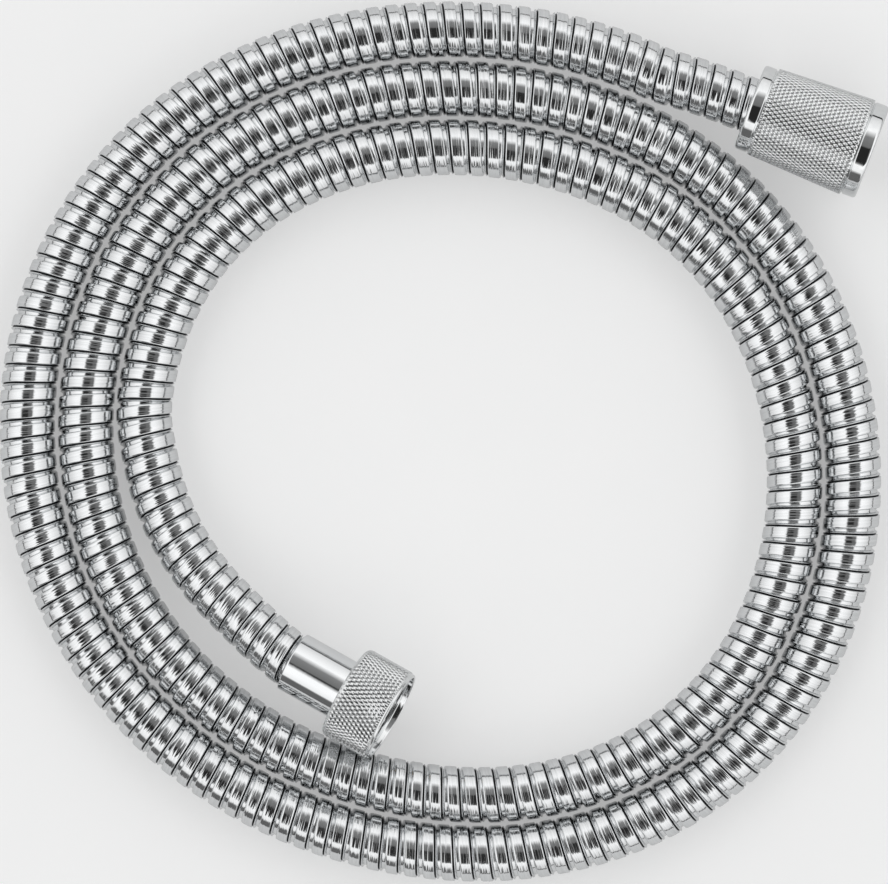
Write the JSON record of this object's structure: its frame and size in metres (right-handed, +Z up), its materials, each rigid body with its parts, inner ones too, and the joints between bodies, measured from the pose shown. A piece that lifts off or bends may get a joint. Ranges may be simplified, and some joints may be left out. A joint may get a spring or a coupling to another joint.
{
  "type": "shower hose",
  "caption": "Flexible steel shower hose lying in a flat coil, with a long knurled cone nut for the handset and a short knurled nut for the supply.",
  "frame": {"origin": "middle of the object's box in plan, on the surface that the coil lies on", "axes": "+Z up from that surface; +Y is the top of the picture and +X its right side, so the cone nut is at +X +Y"},
  "size_m": [0.2342, 0.232, 0.0291],
  "materials": {
    "polished_steel": "bright polished interlocked strip",
    "chrome_plate": "mirror chrome plate",
    "knurled_chrome": "bright chrome plate over a fine diamond knurl",
    "brass": "turned, bare",
    "black_rubber": "matt moulded",
    "tube_rubber": "smooth, off-white",
    "ring_plastic": "turned, satin"
  },
  "bodies": {
    "hose": {"hose_casing": "polished_steel", "water_tube": "tube_rubber", "handset_crimp_sleeve": "polished_steel", "handset_barbed_insert": "brass", "handset_seal_washer": "black_rubber", "supply_ferrule": "chrome_plate", "supply_barbed_insert": "brass", "supply_seal_washer": "black_rubber"},
    "handset_ring": {"handset_slip_ring": "ring_plastic"},
    "handset_nut": {"handset_cone_nut": "knurled_chrome"},
    "supply_ring": {"supply_slip_ring": "ring_plastic"},
    "supply_nut": {"supply_nut": "knurled_chrome"}
  },
  "joints": [
    {"name": "handset_nut_slide", "type": "slide", "parent": "hose", "child": "handset_ring", "axis": [-0.9326, 0.358, -0.0466], "range_m": [0, 0.008]},
    {"name": "handset_nut_spin", "type": "hinge", "parent": "handset_ring", "child": "handset_nut", "pos_m": [0.08065, 0.08819, 0.01182], "axis": [0.9326, -0.358, 0.0466], "continuous": true},
    {"name": "supply_nut_slide", "type": "slide", "parent": "hose", "child": "supply_ring", "axis": [-0.8671, 0.4807, -0.1305], "range_m": [0, 0.014]},
    {"name": "supply_nut_spin", "type": "hinge", "parent": "supply_ring", "child": "supply_nut", "pos_m": [-0.03963, -0.05784, 0.01251], "axis": [0.8671, -0.4807, 0.1305], "continuous": true}
  ]
}
